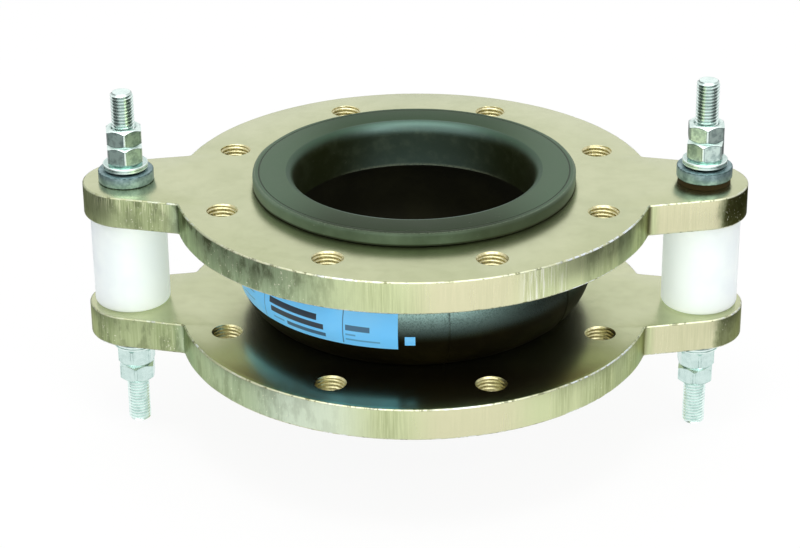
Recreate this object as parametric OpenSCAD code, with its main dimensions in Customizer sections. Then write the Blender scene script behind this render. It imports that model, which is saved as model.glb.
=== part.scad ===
// Tied rubber expansion joint for a 125 mm pipe: a moulded single-arch bellows gripped by two
// steel flanges, with a tie rod, ball washers, conical seats and a spacer sleeve at each ear.
// Millimetres. The origin is the centre of the lower flange's outer face, Z runs along the pipe.

/* [Flanges] */
// Diameter of each flange's disc
flange_d = 250; // [240:1:264]
// Thickness of each flange
flange_t = 17; // [12:0.5:24]
// Clear space between the two flanges
flange_gap = 52; // [44:1:60]
// Diameter of the hole that grips the rubber's neck
grip_d = 148; // [142:1:156]
// Chamfer on the edges of a flange's disc and holes
edge_chamfer = 0.8; // [0.3:0.1:2]

/* [Ears] */
// Distance between the two tie rods
rod_spacing = 302; // [294:1:312]
// Radius of each ear's rounded end
ear_end_r = 26; // [24:0.5:29]
// Distance of that radius's centre in from the tie rod
ear_end_in = 3; // [0:0.5:5]
// Angle at which the ear's sides spread towards the disc
ear_flare = 12.5; // [8:0.5:16]
// Radius in the corner between ear and disc
ear_corner_r = 2; // [1:0.5:8]
// Room around the tie rod in its hole
ear_hole_play = 3; // [2.2:0.2:4.6]

/* [Pipe bolt holes] */
// Diameter of the circle that the tapped holes lie on
bolt_circle_d = 210; // [204:1:214]
// Number of tapped holes in each flange
bolt_count = 8; // [6:1:10]
// Diameter of the tapped hole inside its thread
tap_d = 14; // [12:0.5:16]
// Width of the countersink at the mouths of a tapped hole
tap_sink = 0.5; // [0.2:0.1:1]

/* [Rubber bellows] */
// Diameter of the waterway
waterway_d = 125; // [115:1:130]
// Diameter of the sealing collar
collar_d = 169; // [164:1:176]
// Height of the collar over the flange's face
collar_h = 7; // [4:0.5:10]
// Radius on the collar's outer edge
collar_edge_r = 1.5; // [1:0.5:3.5]
// Radius on the waterway's mouth
mouth_r = 4.5; // [2:0.5:6]
// Greatest diameter of the arch
arch_d = 188; // [184:1:196]
// Radius of the arch's outer curve
arch_r = 28; // [27:0.5:34]
// Thickness of the rubber at the crown of the arch
arch_wall = 11.5; // [8:0.5:14]
// Radius of the hollow inside the arch
hollow_r = 25.6; // [22:0.2:26]

/* [Tie rods] */
// Outside diameter of the rod's thread
rod_d = 12; // [10:0.5:14]
// Height of the left rod's end over the upper flange
left_rod_top = 49; // [44:0.5:60]
// Height of the right rod's end over the upper flange
right_rod_top = 56; // [46:0.5:60]
// Reach of both rods below the lower flange
rod_bottom = 55.5; // [46:0.5:64]
// Chamfer on the rod's ends
rod_chamfer = 1.2; // [0.5:0.1:2]

/* [Nuts] */
// Distance across a nut's flats
nut_af = 18; // [17:0.5:21]
// Height of the nut against a ball washer
nut_h = 10.4; // [7:0.1:12]
// Height of the lock nut outside it
lock_nut_h = 9.6; // [7:0.1:12]
// Width of the countersink in a nut's faces
nut_sink = 0.5; // [0.2:0.1:1]
// Gap between rod and nut, standing in for their threads
thread_gap = 0.05; // [0.05:0.01:0.1]

/* [Ball washers and conical seats] */
// Radius of the ball face
ball_r = 17; // [15:0.5:20]
// Outside diameter of a ball washer
washer_d = 23.5; // [22:0.5:25]
// Height of a ball washer
washer_h = 5.9; // [4.4:0.1:7]
// Room around the tie rod in a ball washer
washer_play = 0.5; // [0.3:0.1:0.9]
// Outside diameter of a conical seat
seat_d = 29; // [27:0.5:34]
// Height of a conical seat
seat_h = 6; // [5.5:0.5:8]
// Room around the tie rod in a conical seat
seat_play = 1.3; // [1.2:0.1:1.8]
// Diameter of the cone's mouth
cone_d = 21.6; // [19:0.2:23]
// Angle of the cone's wall from the flange's plane
cone_slope = 30; // [25:1:35]
// Running gap between ball and cone
ball_gap = 0.3; // [0.2:0.05:0.5]
// Thickness of the packing washer under the right upper seat
shim_t = 3.1; // [0.8:0.1:5]
// Outside diameter of the packing washer
shim_d = 27.5; // [20:0.5:29]

/* [Spacer sleeves] */
// Outside diameter of a sleeve
sleeve_d = 40; // [36:1:42]
// Room around the tie rod in a sleeve, wide enough for the rod's swing
sleeve_bore_play = 5.5; // [5:0.1:7]
// Play between the sleeve's top and the upper flange
sleeve_play = 0.5; // [0.3:0.1:2]
// Radius on the sleeve's outer edges
sleeve_edge_r = 2.5; // [1:0.5:4]

/* [Hidden] */
$fn = 96;

LEFT = -1;
RIGHT = 1;
LOWER = -1;
UPPER = 1;

// Skin gap between the rubber and the steel that it sits in
rubber_gap = 0.2;
// Flat faces on two pieces that are pressed together stay this far apart
seat_gap = 0.02;
// A cut reaches this far past the face that it opens
over = 1;

// Heights along the pipe
lower_inner = flange_t;
upper_inner = lower_inner + flange_gap;
upper_outer = upper_inner + flange_t;
middle = upper_outer / 2;

// Tie rods
rod_x = rod_spacing / 2;
rod_r = rod_d / 2;
ear_hole_d = rod_d + 2 * ear_hole_play;

// The ear's side is a line at distance side_d from the pipe's axis, along its normal n
side_n = [sin(ear_flare), cos(ear_flare)];
side_t = [cos(ear_flare), -sin(ear_flare)];
end_x = rod_x - ear_end_in;
side_d = end_x * side_n[0] + ear_end_r;
// The corner's fillet touches that line and the disc
disc_r = flange_d / 2;
fillet_reach = disc_r + ear_corner_r;
fillet_along = sqrt(fillet_reach ^ 2 - (side_d + ear_corner_r) ^ 2);
fillet_at = (side_d + ear_corner_r) * side_n + fillet_along * side_t;
fillet_bite = 0.15;
// The ear is ground by two steps more than the disc, and the corner between them by one
grind_step = 0.1;
corner_chamfer = edge_chamfer + grind_step;
ear_chamfer = corner_chamfer + grind_step;
// The ear starts inside the disc, between the neck's hole and the rim
ear_root_x = disc_r * 0.7;

// Ball and cone: the ball faces the cone on a circle, ball_gap apart along the normal
seat_bore_d = rod_d + 2 * seat_play;
washer_bore_d = rod_d + 2 * washer_play;
cone_depth = (cone_d - seat_bore_d) / 2 * tan(cone_slope);
touch_r = (ball_r + ball_gap) * sin(cone_slope);
touch_z = seat_h - (cone_d / 2 - touch_r) * tan(cone_slope);
ball_z = touch_z + (ball_r + ball_gap) * cos(cone_slope);
washer_low_z = ball_z - sqrt(ball_r ^ 2 - (washer_bore_d / 2) ^ 2);
washer_top_z = washer_low_z + washer_h;

// Nuts: the bevelled corners leave a round face, a little narrower than the flats
nut_face_share = 0.95;
nut_corner_r = nut_af / 2 / cos(30);
nut_face_r = nut_af / 2 * nut_face_share;
nut_bevel = (nut_corner_r - nut_face_r) * tan(30);

// Headings of one corner of each nut, as they were left by the spanner
left_upper_heading = -81;
left_lower_heading = -98;
left_lower_lock_heading = -88;
right_upper_heading = -102;
right_upper_lock_heading = -91;
right_lower_heading = -82;
right_lower_lock_heading = -97;

// Rubber profile
waterway_r = waterway_d / 2;
neck_r = grip_d / 2 - rubber_gap;
collar_r = collar_d / 2;
arch_out_r = arch_d / 2;
arch_centre = arch_out_r - arch_r;
hollow_centre = arch_out_r - arch_wall - hollow_r;

// Round solid with the same chamfer on both of its outer edges
module chamfered_disc(r, h, c) {
    rotate_extrude()
        polygon([[0, 0], [r - c, 0], [r, c], [r, h - c], [r - c, h], [0, h]]);
}

// Plate that ends in one straight side of the ear, with that side's edges chamfered
module ear_slab() {
    rotate([0, 0, 90 - ear_flare])
        translate([0, rod_x, 0])
            rotate([90, 0, 0])
                linear_extrude(2 * rod_x)
                    polygon([
                        [-disc_r, 0], [side_d - ear_chamfer, 0], [side_d, ear_chamfer],
                        [side_d, flange_t - ear_chamfer], [side_d - ear_chamfer, flange_t],
                        [-disc_r, flange_t]
                    ]);
}

// Fills the corner between ear and disc up to its fillet, which is cut a hair deeper than it
// would be to touch both faces, so that it runs into them instead
module ear_corner() {
    on_disc = fillet_at * disc_r / fillet_reach;
    on_side = fillet_at - ear_corner_r * side_n;
    cut_r = ear_corner_r + fillet_bite;
    root = [ear_root_x, 0];
    difference() {
        linear_extrude(flange_t)
            polygon([root, on_disc, fillet_at, on_side, [on_side[0], 0]]);
        translate([fillet_at[0], fillet_at[1], 0])
            rotate_extrude()
                polygon([
                    [0, -over], [cut_r + corner_chamfer + over, -over],
                    [cut_r, corner_chamfer], [cut_r, flange_t - corner_chamfer],
                    [cut_r + corner_chamfer + over, flange_t + over], [0, flange_t + over]
                ]);
    }
}

module ear() {
    translate([end_x, 0, 0])
        chamfered_disc(ear_end_r, flange_t, ear_chamfer);
    intersection() {
        ear_slab();
        mirror([0, 1, 0]) ear_slab();
        translate([ear_root_x, -disc_r, 0])
            cube([end_x + ear_end_r * side_n[0] - ear_root_x, 2 * disc_r, flange_t]);
    }
    ear_corner();
    mirror([0, 1, 0]) ear_corner();
}

// Through hole with the same countersink at both faces of the flange
module flange_hole(d, sink) {
    r = d / 2;
    rotate_extrude()
        polygon([
            [0, -over], [r + sink + over, -over], [r, sink], [r, flange_t - sink],
            [r + sink + over, flange_t + over], [0, flange_t + over]
        ]);
}

module flange_blank() {
    difference() {
        union() {
            chamfered_disc(disc_r, flange_t, edge_chamfer);
            ear();
            mirror([1, 0, 0]) ear();
        }
        flange_hole(grip_d, edge_chamfer);
        for (i = [0 : bolt_count - 1])
            rotate([0, 0, (i + 0.5) * 360 / bolt_count])
                translate([bolt_circle_d / 2, 0, 0])
                    flange_hole(tap_d, tap_sink);
        for (side = [LEFT, RIGHT])
            translate([side * rod_x, 0, 0])
                flange_hole(ear_hole_d, edge_chamfer);
    }
}

module lower_flange() {
    color("darkseagreen") flange_blank();
}

module upper_flange() {
    color("darkseagreen") translate([0, 0, upper_inner]) flange_blank();
}

// Section of the lower half of the rubber: collar, neck and half of the arch
module rubber_section() {
    difference() {
        union() {
            translate([waterway_r, -collar_h])
                square([collar_r - waterway_r - collar_edge_r, collar_h - rubber_gap]);
            translate([waterway_r, -collar_h + collar_edge_r])
                square([collar_r - waterway_r, collar_h - rubber_gap - collar_edge_r]);
            translate([collar_r - collar_edge_r, -collar_h + collar_edge_r])
                circle(collar_edge_r);
            translate([waterway_r, -collar_h + collar_edge_r])
                square([neck_r - waterway_r, middle + collar_h - collar_edge_r]);
            intersection() {
                translate([arch_centre, middle])
                    circle(arch_r);
                translate([waterway_r, lower_inner + rubber_gap])
                    square([arch_out_r, middle - lower_inner - rubber_gap]);
            }
        }
        translate([hollow_centre, middle])
            circle(hollow_r);
        difference() {
            translate([waterway_r - over, -collar_h - over])
                square([mouth_r + over, mouth_r + over]);
            translate([waterway_r + mouth_r, -collar_h + mouth_r])
                circle(mouth_r);
        }
    }
}

module bellows() {
    color("darkslategray")
        rotate_extrude()
            union() {
                rubber_section();
                translate([0, 2 * middle]) mirror([0, 1]) rubber_section();
            }
}

// Threaded rod, with its thread's outside as a plain shank
module tie_rod(low, high) {
    c = rod_chamfer;
    translate([0, 0, low])
        rotate_extrude()
            polygon([
                [0, 0], [rod_r - c, 0], [rod_r, c],
                [rod_r, high - low - c], [rod_r - c, high - low], [0, high - low]
            ]);
}

module left_tie_rod() {
    color("gainsboro") translate([-rod_x, 0, 0]) tie_rod(-rod_bottom, upper_outer + left_rod_top);
}

module right_tie_rod() {
    color("gainsboro") translate([rod_x, 0, 0]) tie_rod(-rod_bottom, upper_outer + right_rod_top);
}

// Moulded spacer that keeps the two flanges apart and parallel
module spacer_sleeve(side) {
    e = sleeve_edge_r;
    r = sleeve_d / 2;
    bore = rod_r + sleeve_bore_play;
    h = flange_gap - sleeve_play - seat_gap;
    translate([side * rod_x, 0, lower_inner + seat_gap])
        rotate_extrude()
            union() {
                translate([bore, 0]) square([r - bore - e, h]);
                translate([bore, e]) square([r - bore, h - 2 * e]);
                translate([r - e, e]) circle(e);
                translate([r - e, h - e]) circle(e);
            }
}

module left_sleeve() {
    color("white") spacer_sleeve(LEFT);
}

module right_sleeve() {
    color("white") spacer_sleeve(RIGHT);
}

// Packing under one stack only: the right upper one
function packing(side, end) = side == RIGHT && end == UPPER ? shim_t + seat_gap : 0;

// Places a piece on a flange's outer face at one rod, with Z pointing away from the flange
module on_flange(side, end) {
    face = end == UPPER ? upper_outer + packing(side, end) + seat_gap : -seat_gap;
    translate([side * rod_x, 0, face])
        mirror([0, 0, end == UPPER ? 0 : 1])
            children();
}

module conical_seat() {
    c = edge_chamfer / 2;
    rotate_extrude()
        polygon([
            [seat_bore_d / 2, 0], [seat_d / 2 - c, 0], [seat_d / 2, c], [seat_d / 2, seat_h - c],
            [seat_d / 2 - c, seat_h], [cone_d / 2, seat_h], [seat_bore_d / 2, seat_h - cone_depth]
        ]);
}

module ball_washer() {
    difference() {
        intersection() {
            translate([0, 0, ball_z]) sphere(ball_r);
            cylinder(d = washer_d, h = washer_top_z);
        }
        cylinder(d = washer_bore_d, h = washer_top_z + over);
    }
}

// place is 0 for the nut on the washer and 1 for the lock nut outside it
module hex_nut(place, heading) {
    bore = rod_r + thread_gap;
    h = place == 0 ? nut_h : lock_nut_h;
    translate([0, 0, washer_top_z + seat_gap + place * (nut_h + seat_gap)])
        rotate([0, 0, heading])
            intersection() {
                linear_extrude(h)
                    circle(nut_corner_r, $fn = 6);
                rotate_extrude()
                    polygon([
                        [bore + nut_sink, 0], [nut_face_r, 0], [nut_corner_r, nut_bevel],
                        [nut_corner_r, h - nut_bevel], [nut_face_r, h],
                        [bore + nut_sink, h], [bore, h - nut_sink], [bore, nut_sink]
                    ]);
            }
}

module left_lower_seat() {
    color("lightsteelblue") on_flange(LEFT, LOWER) conical_seat();
}

module left_upper_seat() {
    color("lightsteelblue") on_flange(LEFT, UPPER) conical_seat();
}

module right_lower_seat() {
    color("lightsteelblue") on_flange(RIGHT, LOWER) conical_seat();
}

module right_upper_seat() {
    color("lightsteelblue") on_flange(RIGHT, UPPER) conical_seat();
}

module left_lower_ball_washer() {
    color("silver") on_flange(LEFT, LOWER) ball_washer();
}

module left_upper_ball_washer() {
    color("silver") on_flange(LEFT, UPPER) ball_washer();
}

module right_lower_ball_washer() {
    color("silver") on_flange(RIGHT, LOWER) ball_washer();
}

module right_upper_ball_washer() {
    color("silver") on_flange(RIGHT, UPPER) ball_washer();
}

module left_lower_nut() {
    color("gainsboro") on_flange(LEFT, LOWER) hex_nut(0, left_lower_heading);
}

module left_lower_lock_nut() {
    color("gainsboro") on_flange(LEFT, LOWER) hex_nut(1, left_lower_lock_heading);
}

module left_upper_nut() {
    color("gainsboro") on_flange(LEFT, UPPER) hex_nut(0, left_upper_heading);
}

module left_upper_lock_nut() {
    color("gainsboro") on_flange(LEFT, UPPER) hex_nut(1, left_upper_heading);
}

module right_lower_nut() {
    color("gainsboro") on_flange(RIGHT, LOWER) hex_nut(0, right_lower_heading);
}

module right_lower_lock_nut() {
    color("gainsboro") on_flange(RIGHT, LOWER) hex_nut(1, right_lower_lock_heading);
}

module right_upper_nut() {
    color("gainsboro") on_flange(RIGHT, UPPER) hex_nut(0, right_upper_heading);
}

module right_upper_lock_nut() {
    color("gainsboro") on_flange(RIGHT, UPPER) hex_nut(1, right_upper_lock_heading);
}

// Dark washer that packs up the right upper seat
module right_packing_washer() {
    color("dimgray")
        translate([rod_x, 0, upper_outer + seat_gap])
            difference() {
                cylinder(d = shim_d, h = shim_t);
                translate([0, 0, -over]) cylinder(d = seat_bore_d, h = shim_t + 2 * over);
            }
}

lower_flange();
upper_flange();
bellows();
left_sleeve();
right_sleeve();
left_tie_rod();
right_tie_rod();
left_lower_seat();
left_upper_seat();
right_lower_seat();
right_upper_seat();
left_lower_ball_washer();
left_upper_ball_washer();
right_lower_ball_washer();
right_upper_ball_washer();
left_lower_nut();
left_lower_lock_nut();
left_upper_nut();
left_upper_lock_nut();
right_lower_nut();
right_lower_lock_nut();
right_upper_nut();
right_upper_lock_nut();
right_packing_washer();
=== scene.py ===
"""The looks of a tied rubber expansion joint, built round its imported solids. Lengths are metres."""
import math

import bmesh
import bpy
from mathutils import Matrix, Vector, noise


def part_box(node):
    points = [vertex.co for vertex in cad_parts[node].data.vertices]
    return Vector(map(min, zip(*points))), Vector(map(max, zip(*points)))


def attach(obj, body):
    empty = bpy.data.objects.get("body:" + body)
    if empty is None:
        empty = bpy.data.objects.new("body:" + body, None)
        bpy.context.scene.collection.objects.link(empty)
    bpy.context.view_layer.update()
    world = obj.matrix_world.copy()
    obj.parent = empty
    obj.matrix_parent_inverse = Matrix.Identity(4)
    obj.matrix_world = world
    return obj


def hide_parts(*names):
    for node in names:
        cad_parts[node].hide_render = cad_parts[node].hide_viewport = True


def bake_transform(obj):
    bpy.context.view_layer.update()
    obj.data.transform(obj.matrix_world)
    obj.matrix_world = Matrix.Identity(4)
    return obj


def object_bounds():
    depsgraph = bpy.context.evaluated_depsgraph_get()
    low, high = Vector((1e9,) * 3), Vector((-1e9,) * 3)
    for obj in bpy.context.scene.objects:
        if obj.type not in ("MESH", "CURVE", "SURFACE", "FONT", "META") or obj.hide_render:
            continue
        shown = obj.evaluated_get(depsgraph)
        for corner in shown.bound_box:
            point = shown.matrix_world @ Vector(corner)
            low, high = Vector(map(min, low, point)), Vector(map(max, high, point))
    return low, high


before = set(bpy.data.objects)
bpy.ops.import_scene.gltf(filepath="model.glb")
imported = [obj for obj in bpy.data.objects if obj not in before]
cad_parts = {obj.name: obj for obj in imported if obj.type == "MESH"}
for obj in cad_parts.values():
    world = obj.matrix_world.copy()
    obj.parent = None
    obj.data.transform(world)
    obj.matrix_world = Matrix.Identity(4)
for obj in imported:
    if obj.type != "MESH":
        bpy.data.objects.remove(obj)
solid_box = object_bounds()

# Camera: a long lens in front of the joint and a little over it, almost square to the line
# between the tie rods.
MM = 0.001
sensor_w = 36
picture_w = 800
focal_px = 2509
camera_azimuth = math.radians(1.76)
camera_elevation = math.radians(25.32)
camera_roll = math.radians(-0.53)
camera_distance = 1335 * MM
camera_target = Vector((-7.9, 0, 31.5)) * MM

back = Vector((
    math.sin(camera_azimuth) * math.cos(camera_elevation),
    -math.cos(camera_azimuth) * math.cos(camera_elevation),
    math.sin(camera_elevation),
))
right = Vector((math.cos(camera_azimuth), math.sin(camera_azimuth), 0))
turn = Matrix.Rotation(camera_roll, 3, back)
lens = bpy.data.cameras.new("camera")
lens.sensor_width = sensor_w
lens.lens = focal_px / picture_w * sensor_w
lens.clip_start = 0.05
lens.clip_end = 60
camera = bpy.data.objects.new("camera", lens)
camera.matrix_world = (
    Matrix.Translation(camera_target + back * camera_distance)
    @ Matrix((turn @ right, turn @ back.cross(right), back)).transposed().to_4x4()
)
bpy.context.scene.collection.objects.link(camera)
bpy.context.scene.camera = camera
bpy.context.scene.view_settings.view_transform = "Standard"


# Floor and studio: a white table top just under the rods' lower ends, and white walls whose bright
# windows only mirrors show. One soft lamp at the right is mirrored too. The lamp above and the two
# weak fills in front are not.
class Field:
    """A value that changes over a surface. Arithmetic on fields adds Math nodes."""

    def __init__(self, finish, socket):
        self.finish = finish
        self.socket = socket

    def __add__(self, other):
        return self.finish.math("ADD", self, other)

    def __sub__(self, other):
        return self.finish.math("SUBTRACT", self, other)

    def __rsub__(self, other):
        return self.finish.math("SUBTRACT", other, self)

    def __mul__(self, other):
        return self.finish.math("MULTIPLY", self, other)

    def __truediv__(self, other):
        return self.finish.math("DIVIDE", self, other)

    def __pow__(self, other):
        return self.finish.math("POWER", self, other)

    def __abs__(self):
        return self.finish.math("ABSOLUTE", self, 0)

    __radd__ = __add__
    __rmul__ = __mul__

    def rise(self, low, high):
        """0 below low, 1 above high, and a smooth step between. With low over high it falls."""
        settings = {"interpolation_type": "SMOOTHSTEP"}
        sockets = {"Value": self, "From Min": low, "From Max": high}
        return self.finish.node("ShaderNodeMapRange", settings, sockets)


class Finish:
    """A material and its nodes."""

    def __init__(self, name, owner=None):
        self.owner = owner or bpy.data.materials.new(name)
        self.owner.use_nodes = True
        self.tree = self.owner.node_tree
        self.tree.nodes.clear()

    def node(self, kind, settings=None, sockets=None, out=0):
        """Adds any node: its settings are set first, then the values or links of its sockets."""
        made = self.tree.nodes.new(kind)
        for name, value in (settings or {}).items():
            setattr(made, name, value)
        for name, value in (sockets or {}).items():
            socket = made.inputs[name]
            if isinstance(value, Field):
                self.tree.links.new(value.socket, socket)
            elif socket.type == "RGBA":
                socket.default_value = (*value, 1)
            else:
                socket.default_value = value
        return Field(self, made.outputs[out])

    def math(self, operation, a, b):
        return self.node("ShaderNodeMath", {"operation": operation}, {0: a, 1: b})

    def mix(self, share, a, b):
        """Colour a where share is 0 and colour b where it is 1."""
        return self.node("ShaderNodeMix", {"data_type": "RGBA"}, {0: share, 6: a, 7: b}, 2)

    def place(self, scale=(1, 1, 1), move=(0, 0, 0)):
        """Object coordinates, stretched by scale and then moved."""
        here = self.node("ShaderNodeTexCoord", out="Object")
        sockets = {"Vector": here, "Scale": scale, "Location": move}
        return self.node("ShaderNodeMapping", None, sockets)

    def axes(self, vector):
        """The X, Y and Z of a vector, as three fields."""
        split = self.node("ShaderNodeSeparateXYZ", None, {0: vector}).socket.node
        return [Field(self, out) for out in split.outputs]

    def grain(self, size, vector, detail=2, rough=0.5):
        """Noise from about 0 to 1, with features of about the given size in metres."""
        sockets = {"Vector": vector, "Scale": 1 / size, "Detail": detail, "Roughness": rough}
        return self.node("ShaderNodeTexNoise", None, sockets)

    def bump(self, height, depth, strength=1.0):
        sockets = {"Strength": strength, "Distance": depth, "Height": height}
        return self.node("ShaderNodeBump", None, sockets)

    def surface(self, **sockets):
        """A Principled shader with these sockets."""
        named = {key.replace("_", " "): value for key, value in sockets.items()}
        return self.node("ShaderNodeBsdfPrincipled", None, named)

    def layered(self, share, a, b):
        """Shader a where share is 0 and shader b where it is 1."""
        return self.node("ShaderNodeMixShader", None, {0: share, 1: a, 2: b})

    def shade(self, **sockets):
        """Ends the material in a Principled shader with these sockets."""
        self.end(self.surface(**sockets))
        return self.owner

    def end(self, shader, kind="ShaderNodeOutputMaterial"):
        """Ends the material or the world in a shader."""
        out = self.tree.nodes.new(kind)
        self.tree.links.new(shader.socket, out.inputs["Surface"])
        return self.owner


floor_gap = 0.2 * MM
floor_z = solid_box[0].z - floor_gap
floor_r = 25
table_near = 0.25
table_far = 0.43

white = Finish("white_floor")
ray = white.node("ShaderNodeLightPath").socket.node
seen = Field(white, ray.outputs["Is Camera Ray"])
mirrored = (
    Field(white, ray.outputs["Is Glossy Ray"]) + Field(white, ray.outputs["Is Transmission Ray"])
)
floor_x, floor_y, _ = white.axes(white.place())
distance = (floor_x * floor_x + floor_y * floor_y) ** 0.5
far_tone = ((floor_x * 0.1 - floor_y * 0.995) / distance).rise(0.3, 0.85) * 0.88 + 0.12
tone = 1.0 - distance.rise(table_near, table_far) * (1.0 - far_tone)
plain = white.node("ShaderNodeBsdfDiffuse", None, {"Color": (0.9, 0.9, 0.9)})
glow = white.node(
    "ShaderNodeEmission", None, {"Color": (1, 1, 1), "Strength": seen + mirrored * tone}
)
white.end(white.layered(seen * 0.9 + mirrored, plain, glow))

table = bmesh.new()
bmesh.ops.create_circle(table, cap_ends=True, segments=64, radius=floor_r)
bmesh.ops.translate(table, verts=table.verts, vec=(0, 0, floor_z))
floor_mesh = bpy.data.meshes.new("floor")
table.to_mesh(floor_mesh)
table.free()
floor_mesh.materials.append(white.owner)
floor = bpy.data.objects.new("floor", floor_mesh)
bpy.context.scene.collection.objects.link(floor)

studio = bpy.data.worlds.new("studio")
bpy.context.scene.world = studio
walls = Finish("studio", studio)
ray = walls.node("ShaderNodeLightPath").socket.node
mirrored = Field(walls, ray.outputs["Is Glossy Ray"])
way_x, way_y, way_z = walls.axes(walls.node("ShaderNodeTexCoord", out="Generated"))
room_share = (way_y * 0.8 + way_z * 0.6).rise(0.2, -0.5)
window_share = (way_z * 0.96 - way_y * 0.28).rise(0.72, 0.93)
box_share = (
    way_y.rise(-0.15, -0.5) * way_z.rise(-0.02, 0.1) * way_x.rise(0.85, 0.5)
    * way_x.rise(-0.97, -0.6)
)
strength = 1.0 + mirrored * (window_share * 1.2 + box_share * 1.5 - room_share * 0.6)
walls.end(
    walls.node("ShaderNodeBackground", None, {"Color": (1, 1, 1), "Strength": strength}),
    "ShaderNodeOutputWorld",
)

joint_middle = Vector((0, 0, 0.04))


def soft_lamp(name, place, width, watts, mirrored=True):
    """A square lamp at place, aimed at the middle of the joint."""
    light = bpy.data.lights.new(name, "AREA")
    light.size = width
    light.energy = watts
    lamp = bpy.data.objects.new(name, light)
    lamp.location = place
    aim = joint_middle - Vector(place)
    lamp.rotation_euler = aim.to_track_quat("-Z", "Y").to_euler()
    lamp.visible_camera = False
    lamp.visible_glossy = mirrored
    bpy.context.scene.collection.objects.link(lamp)


soft_lamp("lamp_right", (0.9, -1.2, 0.9), 0.5, 3)
soft_lamp("lamp_top", (-0.05, -0.45, 1.4), 0.45, 5, mirrored=False)
soft_lamp("fill_left", (-0.8, -1.4, 0.2), 0.8, 2, mirrored=False)
soft_lamp("fill_right", (0.8, -1.4, 0.2), 0.8, 2, mirrored=False)

# Flanges: two plates cut from 17 mm steel by torch, each with an ear at both sides, drilled and
# tapped for eight bolts, then plated in yellow-green zinc. The rims keep the torch's upright
# drag lines, and handling has worn their edges bright.
disc_r = 125 * MM
plate_t = 17 * MM
edge_r = 0.8 * MM
edge_steps = 3
grip_r = 74 * MM
rod_x = 151 * MM
ear_end_r = 26 * MM
ear_end_x = rod_x - 3 * MM
ear_flare = math.radians(12.5)
corner_r = 2 * MM
ear_hole_r = 9 * MM
bolt_circle_r = 105 * MM
bolt_count = 8
tap_crest_r = 7.2 * MM
tap_root_r = 7.9 * MM
tap_mouth_r = 8.1 * MM
tap_pitch = 2 * MM
tap_steps = 32
hole_step = 2 * MM
rim_step = 1.1 * MM
drag_size = 1.7 * MM
drag_depth = 0.045 * MM
wave_size = 13 * MM
wave_level = 9 * MM
wave_depth = 0.11 * MM
face_slot, rim_slot, edge_slot, thread_slot = range(4)


def finished(name, bm, materials, body, nodes, crease=35):
    """Makes the object of a bmesh, smooth but for edges sharper than crease, in place of nodes."""
    mesh = bpy.data.meshes.new(name)
    bm.to_mesh(mesh)
    bm.free()
    for material in materials:
        mesh.materials.append(material)
    mesh.shade_smooth()
    mesh.set_sharp_from_angle(angle=math.radians(crease))
    piece = bpy.data.objects.new(name, mesh)
    bpy.context.scene.collection.objects.link(piece)
    if body:
        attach(piece, body)
    if nodes:
        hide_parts(*nodes)
    return piece


def arc(centre, radius, start, end, step, hollow=False):
    """Points of an arc with their outward directions, up to but not at its end."""
    count = max(3, round(abs(end - start) * radius / step))
    side = -1 if hollow else 1
    for i in range(count):
        angle = start + (end - start) * i / count
        ray_out = Vector((math.cos(angle), math.sin(angle)))
        yield centre + radius * ray_out, side * ray_out


def plate_outline():
    """The plate's outline, anticlockwise, from the tip of the right ear."""
    normal = Vector((math.sin(ear_flare), math.cos(ear_flare)))
    along = Vector((normal.y, -normal.x))
    ear_end = Vector((ear_end_x, 0))
    side_at = ear_end.dot(normal) + ear_end_r + corner_r
    reach = disc_r + corner_r
    corner = side_at * normal + math.sqrt(reach ** 2 - side_at ** 2) * along
    normal_angle = math.atan2(normal.y, normal.x)
    corner_angle = math.atan2(corner.y, corner.x)
    quarter = list(arc(ear_end, ear_end_r, 0, normal_angle, rim_step))
    side_start = ear_end + ear_end_r * normal
    side_end = corner - corner_r * normal
    count = round((side_end - side_start).length / rim_step)
    quarter += [(side_start.lerp(side_end, i / count), normal) for i in range(count)]
    turn_start = normal_angle + math.pi
    quarter += arc(corner, corner_r, turn_start, corner_angle + math.pi, rim_step / 2, hollow=True)
    quarter += arc(Vector((0, 0)), disc_r, corner_angle, math.pi / 2, rim_step)

    def flipped(points, x, y):
        flip = Vector((x, y))
        return [(point * flip, out * flip) for point, out in points]

    half = quarter + [(Vector((0, disc_r)), Vector((0, 1)))] + flipped(quarter[::-1], -1, 1)
    return half + flipped(half[-2:0:-1], 1, -1)


def cut_wave(point):
    """How far the torch left the rim in or out at a point."""
    drag = noise.noise(Vector((point.x, point.y, 0)) / drag_size)
    wave = noise.noise(Vector((point.x, point.y, wave_level)) / wave_size)
    return drag * drag_depth + wave * wave_depth


def loop_of(bm, points, out_layer, z, shift):
    """A closed loop of edges through points, each shifted along its outward direction."""
    verts = []
    for point, out in points:
        vert = bm.verts.new((*(point + out * shift), z))
        vert[out_layer] = (*out, 0)
        verts.append(vert)
    return [bm.edges.new((verts[i - 1], verts[i])) for i in range(len(verts))]


def raised(bm, edges, out_layer, dz, shift, material):
    """Draws a wall up from a loop of edges, and returns the loop at its top."""
    made = bmesh.ops.extrude_edge_only(bm, edges=edges)["geom"]
    verts = {item for item in made if isinstance(item, bmesh.types.BMVert)}
    for vert in verts:
        vert.co += vert[out_layer] * shift + Vector((0, 0, dz))
    for item in made:
        if isinstance(item, bmesh.types.BMFace):
            item.material_index = material
    return [edge for edge in bm.edges if edge.verts[0] in verts and edge.verts[1] in verts]


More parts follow.
